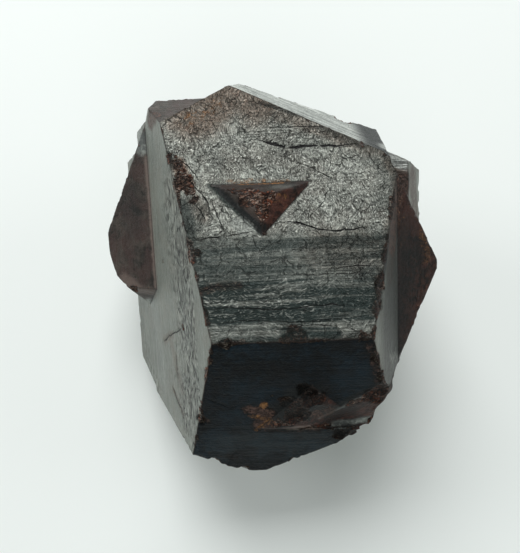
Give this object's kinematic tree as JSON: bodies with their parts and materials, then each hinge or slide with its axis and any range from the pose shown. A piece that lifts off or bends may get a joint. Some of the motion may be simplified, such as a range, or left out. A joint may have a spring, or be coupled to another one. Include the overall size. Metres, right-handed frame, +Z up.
{
  "type": "pyrite twin crystal",
  "caption": "Dark, rust-skinned twinned crystal with flat five-sided faces, low pyramids and side lenses of its twin, lying on a flat face.",
  "frame": {"origin": "middle of the object's outline, on the surface that it rests on", "axes": "+Z up, out of the largest face, which is level; +Y along the longest extent, towards the crystal's pointed top; +X to the right, along the ridge between the two front faces"},
  "size_m": [0.0478, 0.0554, 0.0377],
  "materials": {
    "limonite": "satin, almost metallic black-brown skin with rusty broken places"
  },
  "bodies": {
    "root": {"twin_crystal": "limonite"}
  },
  "joints": []
}
